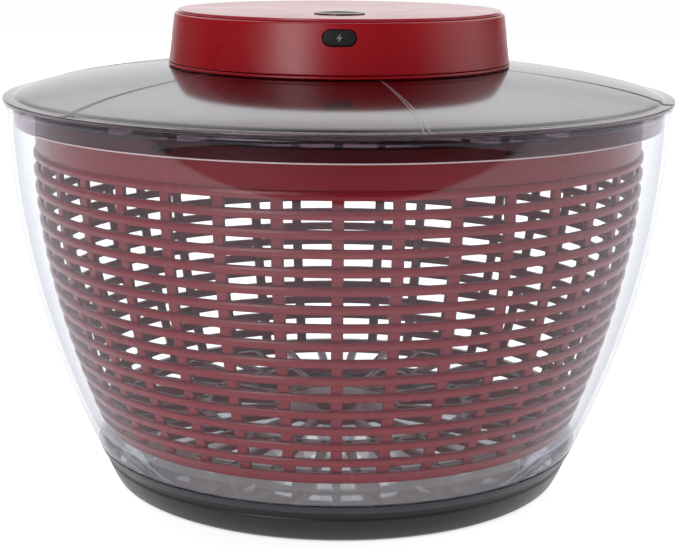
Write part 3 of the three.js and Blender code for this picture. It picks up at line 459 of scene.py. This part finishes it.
# Painted highlight: a light pinkish grey for the thin ring at the lid skirt's bottom edge, where the smoked
# edge catches light.
SKIRT_HIGHLIGHT_PAINT = moulded("skirt_highlight_paint", (0.75, 0.62, 0.64), (0.66, 0.54, 0.56), 0.15)
SEAM_GREY = moulded("seam_grey", (0.30, 0.29, 0.32), (0.24, 0.23, 0.26), 0.2)
STEEL = metal("steel", (0.62, 0.63, 0.65), 0.28)
BRONZE = metal("bronze", (0.55, 0.38, 0.18), 0.4, stretch=(1, 1, 1), scale=900)
COPPER = metal("copper", (0.60, 0.26, 0.12), 0.35, stretch=(1, 1, 12), scale=500)
GEAR_WHITE = moulded("gear_white", (0.78, 0.75, 0.66), (0.72, 0.69, 0.60), 0.4)
BOARD_GREEN = moulded("board_green", (0.015, 0.13, 0.05), (0.01, 0.09, 0.035), 0.35, coat=0.3,
                      grain=0.3, grain_scale=1500, colour_scale=300)
CELL_BLUE = moulded("cell_blue", (0.02, 0.10, 0.32), (0.015, 0.08, 0.27), 0.25, coat=0.3)
DARK_GREY = moulded("dark_grey", (0.045, 0.045, 0.05), (0.03, 0.03, 0.034), 0.5)
LEAD_RED = moulded("lead_red", (0.45, 0.012, 0.010), (0.38, 0.010, 0.008), 0.4)
LEAD_BLACK = moulded("lead_black", (0.015, 0.015, 0.017), (0.010, 0.010, 0.011), 0.4)

# ---------------------------------------------------------------- pieces


def place(piece, body, slot, material, *nodes):
    piece.data.materials.clear()
    piece.data.materials.append(material)
    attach(piece, body)
    if nodes:
        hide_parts(*nodes)
    return piece


def make_bowl():
    rebate = RING_THICKNESS + GAP
    underside, wall_from = RING_UNDER + GAP, RING_TOP + GAP
    lip_under = LIP_TOP - 1.8 * MM
    floor, floor_edge, corner = 6.5 * MM, 78 * MM, 28 * MM
    corner_top = (bowl_outside(corner) - BOWL_WALL, corner)
    corner_aim = (bowl_outside(floor) - BOWL_WALL - RING_THICKNESS + 1.5 * MM, floor + 2.5 * MM)
    pivot_foot, pivot_radius, pivot_tip = 9.2 * MM, 6.2 * MM, 4.3 * MM
    fillet, taper, crown = 2 * MM, 3.1 * MM, 0.8 * MM
    wall = [(bowl_outside(z), z) for z in spread(wall_from, lip_under, 36)]
    inner = [(bowl_outside(z) - BOWL_WALL, z) for z in spread(lip_under, corner, 30)]
    outline = [
        (0, underside),
        (bowl_outside(underside) - rebate, underside),
        (bowl_outside(RING_TOP) - rebate, wall_from),
        *wall,
        (LIP_RADIUS, lip_under),
        (LIP_RADIUS, LIP_TOP),
        (BOWL_RADIUS - BOWL_WALL, LIP_TOP),
        *inner[:-1],
        *bend(corner_top, corner_aim, (floor_edge, floor), 14),
        (pivot_foot, floor),
        (pivot_radius, floor + fillet),
        (pivot_radius, PIVOT_TOP - taper),
        (pivot_tip, PIVOT_TOP - crown),
        (0, PIVOT_TOP),
    ]
    piece = turned("bowl_wall", rounded(outline, 0.7 * MM), 192)
    place(piece, "bowl", "clear_plastic", CLEAR, "bowl")


def make_foot_ring():
    inner, bevel = 77 * MM, 1.4 * MM
    bulge, proud = 0.25 * MM, 0.1 * MM
    groove_low, groove_high, groove_depth = 9.8 * MM, 12.9 * MM, 0.75 * MM
    floor_low, edge_high = groove_low + MM, groove_high + 0.5 * MM

    def inside(z):
        return bowl_outside(z) - RING_THICKNESS

    lower = [
        (bowl_outside(z) + bulge * math.sin(math.pi * z / groove_low), z)
        for z in spread(bevel, groove_low, 8)
    ]
    outline = [
        (inner, 0),
        (FOOT_RADIUS - bevel, 0),
        *lower,
        (bowl_outside(floor_low) - groove_depth, floor_low),
        (bowl_outside(groove_high) - groove_depth, groove_high),
        (bowl_outside(edge_high) + proud, edge_high),
        (bowl_outside(RING_TOP) + proud, RING_TOP),
        (inside(RING_TOP), RING_TOP),
        (inside(RING_UNDER), RING_UNDER),
        (inner, RING_UNDER),
    ]
    piece = turned("foot_ring", rounded(outline, 0.6 * MM), 192)
    place(piece, "bowl", "foot_rubber", FOOT_RUBBER, "base_ring")


def squared(value):
    return math.copysign(abs(value) ** HOOP_SQUARENESS, value)


def add_hoop(bm, z):
    radius = basket_outside(z)
    slope = (basket_outside(z + MM) - basket_outside(z - MM)) / (2 * MM)
    section = []
    steps = 12
    for i in range(steps):
        angle = 2 * math.pi * i / steps
        across = squared(math.cos(angle)) * HOOP_DEPTH / 2
        along = squared(math.sin(angle)) * HOOP_HEIGHT / 2
        section.append((radius - HOOP_DEPTH / 2 + across + slope * along, z + along))
    add_turned(bm, section, 180)


def add_bar(bm, angle):
    turn = Matrix.Rotation(angle, 3, "Z")
    half, bevel = BAR_HALF_WIDTH, BAR_BEVEL
    sections = []
    for z in spread(BAR_BOTTOM, BAR_TOP, 30):
        outer, inner = basket_outside(z) - BAR_FRONT, basket_outside(z) - BAR_BACK
        loop = [
            (outer - bevel, -half), (outer, -half + bevel), (outer, half - bevel), (outer - bevel, half),
            (inner + bevel, half), (inner, half - bevel), (inner, -half + bevel), (inner + bevel, -half),
        ]
        sections.append([turn @ Vector((x, y, z)) for x, y in loop])
    add_sweep(bm, sections)


def add_basket_band(bm):
    bottom, wall = 132.5 * MM, 2.4 * MM
    radius = BASKET_RADIUS - 1.0 * MM
    lip_under = BASKET_TOP - 1.2 * MM
    add_turned(bm, rounded([
        (radius - wall, bottom),
        (radius, bottom),
        (radius, lip_under),
        (BASKET_RADIUS, lip_under),
        (BASKET_RADIUS, BASKET_TOP),
        (radius - wall, BASKET_TOP),
    ], 0.5 * MM), 180)


def add_basket_rim(bm):
    """The solid rim round the basket's floor."""
    low, high = BASKET_BOTTOM, 29.0 * MM
    foot, head = basket_outside(low), basket_outside(high)
    add_turned(bm, rounded([
        (foot - 4.0 * MM, low), (foot - 0.6 * MM, low), (head, high), (head - 3.4 * MM, high),
    ], 0.7 * MM), 180)


def add_basket_floor(bm):
    low, high = BASKET_BOTTOM + 0.2 * MM, BASKET_BOTTOM + 2.6 * MM
    for inner, outer in ((88 * MM, 93.5 * MM), (52 * MM, 57 * MM), (22 * MM, 26 * MM)):
        add_turned(bm, rounded([(inner, low), (outer, low), (outer, high), (inner, high)], 0.5 * MM), 120)
    hub_in, hub_out, hub_end = 6.8 * MM, 9.4 * MM, 24 * MM
    mouth, roof, roof_wall = BASKET_BOTTOM - 2.5 * MM, PIVOT_TOP + GAP, 2.9 * MM
    add_turned(bm, rounded([
        (0, roof), (hub_in, roof), (hub_in, mouth), (hub_out, mouth), (hub_out, low), (hub_end, low),
        (hub_end, high), (hub_out, high), (hub_out - MM, roof + roof_wall), (0, roof + roof_wall),
    ], 0.4 * MM), 72)
    side, top = 0.4 * MM, 0.3 * MM
    for count, inner, outer, half in ((36, 54 * MM, 90 * MM, 1.6 * MM), (18, 24 * MM, 54 * MM, 1.8 * MM)):
        for i in range(count):
            turn = Matrix.Rotation(2 * math.pi * (i + 0.5) / count, 3, "Z")
            loop = [(-half, low), (half, low), (half, high - top), (half - side, high),
                    (-half + side, high), (-half, high - top)]
            add_sweep(bm, [[turn @ Vector((x, y, z)) for y, z in loop] for x in (inner, outer)])


def make_basket():
    bm = bmesh.new()
    for k in range(HOOP_COUNT):
        add_hoop(bm, TOP_HOOP - k * HOOP_PITCH)
    for i in range(BAR_COUNT):
        add_bar(bm, math.radians(-90) + 2 * math.pi * i / BAR_COUNT)
    add_basket_band(bm)
    add_basket_rim(bm)
    add_basket_floor(bm)
    piece = finish_mesh("basket_moulding", bm)
    place(piece, "basket", "basket_red", BASKET_RED, "basket")


def dome(drop, steps=28):
    """The dome's profile from its rim to the motor unit's seat, lowered by drop."""
    rim_end = RIM_RADIUS - RIM_FLAT
    start = (rim_end - 1.1 * MM, RIM_TOP + 1.0 * MM - drop)
    return bend(start, (KNEE, LID_TOP - KNEE_DROP - drop), (SEAT_RADIUS, LID_TOP - drop), steps)


def make_lid():
    opening = 57.6 * MM
    skirt = BOWL_RADIUS - BOWL_WALL - 0.8 * MM
    skirt_inner = skirt - 1.8 * MM
    skirt_bottom = RIM_UNDER - 8.6 * MM
    outline = [
        (opening, LID_TOP - LID_WALL),
        *reversed(dome(LID_WALL)),
        (skirt_inner, RIM_UNDER + 0.4 * MM),
        (skirt_inner, skirt_bottom),
        (skirt, skirt_bottom),
        (skirt, RIM_UNDER),
        (RIM_RADIUS, RIM_UNDER),
        (RIM_RADIUS, RIM_TOP),
        (RIM_RADIUS - RIM_FLAT, RIM_TOP),
        *dome(0),
        (opening, LID_TOP),
    ]
    piece = turned("lid_dome", rounded(outline, 0.45 * MM), 240)
    place(piece, "lid", "smoked_plastic", SMOKED, "lid")
    # Painted highlight: a thin opaque ring in a light colour round the skirt's bottom edge, standing in for
    # the light that edge catches.
    half = 0.25 * MM
    corners = [(skirt - half, skirt_bottom - half), (skirt + half, skirt_bottom - half),
               (skirt + half, skirt_bottom + half), (skirt - half, skirt_bottom + half)]
    edge = turned("skirt_highlight_ring", rounded(corners, 0.2 * MM), 240)
    place(edge, "lid", "smoked_plastic", SKIRT_HIGHLIGHT_PAINT)


def make_lid_seams():
    """Six pairs of fine raised lines, wide apart at the rim and meeting at the motor unit."""
    curve = [(RIM_RADIUS - 0.15 * MM, RIM_TOP), (RIM_RADIUS - RIM_FLAT, RIM_TOP)] + dome(0, 24)
    start, end = curve[0][0], curve[-1][0]
    sunk = -0.1 * MM
    bm = bmesh.new()
    for i in range(SEAM_COUNT):
        turn = Matrix.Rotation(SEAM_START + 2 * math.pi * i / SEAM_COUNT, 3, "Z")
        for side in (-1, 1):
            sections = []
            for radius, height in curve:
                share = (radius - end) / (start - end)
                middle = side * SEAM_SPACING * share
                half, rise = (0.16 + 0.10 * share) * MM, (0.05 + 0.13 * share) * MM
                loop = [(-half, sunk), (half, sunk), (half * 0.5, rise), (-half * 0.5, rise)]
                sections.append([turn @ Vector((radius, middle + y, height + z)) for y, z in loop])
            add_sweep(bm, sections)
    seams = finish_mesh("lid_seams", bm)
    place(seams, "lid", "smoked_plastic", SEAM_GREY)


def make_housing():
    top_wall = 1.5 * MM
    shell = turned("housing_shell", rounded([
        (shell_outside(SHELL_BOTTOM) - SHELL_WALL, SHELL_BOTTOM),
        (shell_outside(SHELL_BOTTOM), SHELL_BOTTOM),
        *[(shell_outside(z), z) for z in spread(SHELL_BOTTOM + MM, SHELL_TOP - 1.7 * MM, 6)],
        (SHELL_TOP_RADIUS - 0.1 * MM, SHELL_TOP),
        (0, SHELL_TOP),
        (0, SHELL_TOP - top_wall),
        (SHELL_TOP_RADIUS - SHELL_WALL, SHELL_TOP - top_wall),
    ], 1.4 * MM, 7), 200)
    cut_with(shell, button_hole_cutter(SHELL_TOP - 4 * MM, SHELL_TOP + 4 * MM))
    face = shell_outside(PORT_Z)
    cut_with(shell, port_bar("port_cutter", GAP, face - 9 * MM, face + 4 * MM))
    place(shell, "lid", "housing_red", HOUSING_RED, "housing_top")

    flange_low = bottom_of("housing_base")
    flange_top = SHELL_BOTTOM - GAP
    flange_under = flange_top - 1.0 * MM
    flange_radius = SHELL_FOOT + 0.2 * MM
    tub_bottom, tub_wall = flange_low + 3.0 * MM, 2.2 * MM
    tub_corner, tub_inside, tub_outside = 54 * MM, 55 * MM, 57 * MM
    bore, boss = 5.3 * MM, 9 * MM
    base = turned("housing_flange", rounded([
        (bore, flange_low),
        (boss, flange_low),
        (boss, tub_bottom),
        (tub_corner, tub_bottom),
        (tub_outside, tub_bottom + 3 * MM),
        (tub_outside, flange_under),
        (flange_radius, flange_under),
        (flange_radius, flange_top),
        (tub_inside, flange_top),
        (tub_inside, tub_bottom + tub_wall),
        (bore, tub_bottom + tub_wall),
    ], 0.3 * MM), 160)
    place(base, "lid", "housing_red", HOUSING_RED, "housing_base")

    panel = turned("panel_disc", rounded([
        (0, PANEL_BOTTOM), (PANEL_RADIUS, SHELL_TOP + 0.02 * MM), (PANEL_RADIUS, PANEL_TOP), (0, PANEL_TOP),
    ], 0.45 * MM, 5), 200)
    cut_with(panel, button_hole_cutter(PANEL_BOTTOM - 2 * MM, PANEL_TOP + 2 * MM))
    place(panel, "lid", "panel_red", PANEL_RED, "top_panel")


def button_hole_cutter(low, high):
    radius = BUTTON_RADIUS + GAP
    return turned("round_cutter", [(0, low), (radius, low), (radius, high), (0, high)], 96, (0, BUTTON_Y))


def pill(width, height, steps=14):
    """Corners of a pill in the X-Z plane, centred on the origin."""
    straight, radius = (width - height) / 2, height / 2
    points = []
    for side in (1, -1):
        for i in range(steps + 1):
            angle = -math.pi / 2 + math.pi * i / steps
            points.append((side * (straight + radius * math.cos(angle)), side * radius * math.sin(angle)))
    return points


def port_bar(name, margin, near, far, bevel=0.0):
    """A pill-shaped bar along Y; its front edge is rounded where bevel isn't zero."""
    width = PORT_BOX[1].x - PORT_BOX[0].x + 2 * margin
    height = PORT_BOX[1].z - PORT_BOX[0].z + 2 * margin
    stations = [(near, 0)]
    if bevel:
        for a in spread(0, math.pi / 2, 5):
            stations.append((far - bevel * (1 - math.sin(a)), bevel * (1 - math.cos(a))))
    else:
        stations.append((far, 0))
    bm = bmesh.new()
    sections = []
    for reach, inset in stations:
        loop = pill(width - 2 * inset, height - 2 * inset)
        sags = [reach - math.sqrt(reach * reach - x * x) for x, z in loop]
        sections.append([(x, -reach + sag, PORT_Z + z) for (x, z), sag in zip(loop, sags)])
    add_sweep(bm, sections)
    return finish_mesh(name, bm)


def zigzag_mark(face):
    """A plain charging mark, slightly raised on the cover."""
    outline = [(0.5, 1.7), (-1.1, -0.3), (-0.15, -0.3), (-0.5, -1.7), (1.1, 0.35), (0.15, 0.35)]
    bm = bmesh.new()
    add_sweep(bm, [
        [(x * MM, -face - depth, PORT_Z + z * MM) for x, z in outline] for depth in (-0.1 * MM, 0.12 * MM)
    ])
    return finish_mesh("port_mark", bm)


def make_port_cover():
    face = shell_outside(PORT_Z)
    cover = port_bar("port_cover", 0, face - 1.6 * MM, face + PORT_PROUD, 0.5 * MM)
    place(cover, "charge_port_cover", "rubber_black", RUBBER_BLACK, "charge_port_cover")
    mark = zigzag_mark(face + PORT_PROUD)
    place(mark, "charge_port_cover", "rubber_black", MARK_GREY)


def make_button():
    low, high = BUTTON_BOX[0].z, BUTTON_BOX[1].z
    stem, flange = 2 * MM, 11.1 * MM
    flange_low = low + 0.7 * MM
    piece = turned("button_cap", rounded([
        (0, low), (stem, low), (stem, flange_low), (flange, flange_low), (flange, flange_low + MM),
        (BUTTON_RADIUS, flange_low + MM), (BUTTON_RADIUS, high), (BUTTON_RADIUS - 1.2 * MM, high),
        (BUTTON_RADIUS - 1.7 * MM, high - 0.5 * MM), (0, high - 0.9 * MM),
    ], 0.35 * MM), 96, (0, BUTTON_Y))
    place(piece, "power_button", "button_black", BUTTON_BLACK, "power_button")
    inner, outer = 3.4 * MM, 4.1 * MM
    under, over = high - 0.86 * MM, high - 0.66 * MM
    ring = [(inner, under), (outer, under), (outer, over), (inner, over)]
    mark = turned("button_ring_mark", rounded(ring, 0.05 * MM), 72, (0, BUTTON_Y))
    place(mark, "power_button", "button_black", MARK_GREY)


def finish_cad_nodes():
    """Better materials for the CAD nodes that stay."""
    by_slot = {
        "smoked_plastic": SMOKED, "rubber_black": RUBBER_BLACK, "steel": STEEL, "bronze": BRONZE,
        "gear_plastic": GEAR_WHITE, "circuit_board": BOARD_GREEN, "cell_wrap": CELL_BLUE,
        "dark_plastic": DARK_GREY, "copper": COPPER, "lead_red": LEAD_RED, "lead_black": LEAD_BLACK,
    }
    for entry in frame["record"]["subparts"]:
        material = by_slot.get(entry["material_slot"])
        node = frame["nodes"][entry["node"]]
        if material is None:
            continue
        node.data.materials.clear()
        node.data.materials.append(material)


# ---------------------------------------------------------------- floor, light and camera

FLOOR_FRONT = -0.53
FLOOR_REACH = 2.5
FLOOR_DROP = 0.0002
FLOOR_IN_REFLECTIONS = 0.46
AMBIENT = 0.04
# Each softbox: the angle it is placed by (degrees round from the front, to the right, or away from the back),
# middle, half width and soft edge; its level; middle, half height and soft edge of its elevation.
SOFTBOXES = [
    ("around", -32, 12, 18, 4.6, 22, 24, 12),
    ("around", -47, 7, 5, 2.2, -13, 11, 4),
    ("around", 92, 24, 24, 1.1, 12, 34, 12),
    ("behind", 0, 30, 14, 1.0, 3, 26, 24),
    ("behind", 0, 70, 30, 2.2, 50, 26, 20),
]
CAMERA_PLACE = (0, -0.671, 0.227)
CAMERA_DOWN = 12.21               # degrees below the horizontal
CAMERA_ROLL = 0.43                # degrees
CAMERA_SHIFT = 0.0028
SENSOR_WIDTH = 36.0               # millimetres, as the lens
LENS = 88.75405


def make_floor():
    """White table, with a painted shadow where its emission is turned down under the bowl. Its mirror images
    end at FLOOR_FRONT, as at a real table's edge.
    """
    m = Nodes("floor_white")
    m.set(Roughness=0.7, Emission_Color=(1, 1, 1, 1))
    distance = m.add("ShaderNodeVectorMath", operation="LENGTH")
    m.link(m.coordinates, distance.inputs[0])
    # Painted shadow: the emission drops to 0.3 inside the foot ring, standing in for the shade under the
    # bowl.
    glow_with_painted_shadow = m.range(distance.outputs["Value"], 0.3, 1.0, FOOT_RADIUS - 6 * MM, FOOT_RADIUS)
    path = m.add("ShaderNodeLightPath").outputs
    mirrored = m.compute("SUBTRACT", path["Is Glossy Ray"], path["Is Transmission Ray"], clamp=True)
    softened = m.range(mirrored, 0.85, FLOOR_IN_REFLECTIONS, 0, 1)
    beyond = m.range(m.along("Y"), 1.0, 0.0, FLOOR_FRONT - 2 * MM, FLOOR_FRONT)
    shown = m.range(m.compute("MULTIPLY", beyond, mirrored), 1.0, 0.0, 0, 1)
    m.feed(m.ramp(shown, [(0, (0.02, 0.02, 0.02)), (1, (0.5, 0.5, 0.5))]), "Base Color")
    level = m.compute("MULTIPLY", glow_with_painted_shadow, softened)
    m.feed(m.compute("MULTIPLY", level, shown), "Emission Strength")
    m.bump(m.noise(400, 2), 0.05, 0.00002)
    bm = bmesh.new()
    corners = [(-FLOOR_REACH, -FLOOR_REACH), (FLOOR_REACH, -FLOOR_REACH),
               (FLOOR_REACH, FLOOR_REACH), (-FLOOR_REACH, FLOOR_REACH)]
    bm.faces.new([bm.verts.new((x, y, -FLOOR_DROP)) for x, y in corners])
    floor = finish_mesh("floor", bm)
    floor.data.materials.append(m.material)


def make_world():
    """White to the eye and through clear plastic; softboxes round a dim room in reflections."""
    world = bpy.data.worlds.new("studio")
    world.use_nodes = True
    tree = world.node_tree
    background = tree.nodes["Background"]

    def compute(operation, *sources, clamp=False):
        return math_node(tree, operation, *sources, clamp=clamp)

    def band(value, middle, half, soft):
        """1 inside the band, falling to 0 over its soft edge."""
        away = compute("ABSOLUTE", compute("SUBTRACT", value, middle))
        return compute("DIVIDE", compute("SUBTRACT", half + soft / 2, away), soft, clamp=True)

    direction = tree.nodes.new("ShaderNodeTexCoord").outputs["Generated"]
    parts = tree.nodes.new("ShaderNodeSeparateXYZ")
    tree.links.new(direction, parts.inputs[0])
    x, y, z = parts.outputs
    around = compute("MULTIPLY", compute("ARCTAN2", x, compute("MULTIPLY", y, -1)), 180 / math.pi)
    height = compute("MULTIPLY", compute("ARCSINE", z), 180 / math.pi)
    behind = compute("SUBTRACT", 180, compute("ABSOLUTE", around))

    total = AMBIENT
    for value, middle, half, soft, level, high_middle, high_half, high_soft in SOFTBOXES:
        across = band(around if value == "around" else behind, middle, half, soft)
        up = band(height, high_middle, high_half, high_soft)
        total = compute("ADD", total, compute("MULTIPLY", compute("MULTIPLY", across, up), level))

    path = tree.nodes.new("ShaderNodeLightPath").outputs
    plain = compute("ADD", path["Is Camera Ray"], path["Is Transmission Ray"], clamp=True)
    rest = compute("MULTIPLY", total, compute("SUBTRACT", 1, plain))
    tree.links.new(compute("ADD", plain, rest), background.inputs["Strength"])
    background.inputs["Color"].default_value = (0.985, 0.99, 1, 1)
    bpy.context.scene.world = world


def make_camera():
    data = bpy.data.cameras.new("camera")
    data.sensor_fit = "HORIZONTAL"
    data.sensor_width = SENSOR_WIDTH
    data.lens = LENS
    data.shift_x = CAMERA_SHIFT
    data.clip_start = 0.01
    camera = bpy.data.objects.new("camera", data)
    tilt = Matrix.Rotation(math.radians(90 - CAMERA_DOWN), 4, "X")
    roll = Matrix.Rotation(math.radians(CAMERA_ROLL), 4, "Z")
    camera.matrix_world = Matrix.Translation(CAMERA_PLACE) @ tilt @ roll
    bpy.context.scene.collection.objects.link(camera)
    bpy.context.scene.camera = camera


make_bowl()
make_foot_ring()
make_basket()
make_lid()
make_lid_seams()
make_housing()
make_port_cover()
make_button()
finish_cad_nodes()
make_floor()
make_world()
make_camera()
bpy.context.scene.view_settings.view_transform = "Standard"
bpy.context.scene.cycles.transparent_max_bounces = 24
bpy.context.scene.cycles.transmission_bounces = 16
bpy.context.scene.cycles.max_bounces = 16
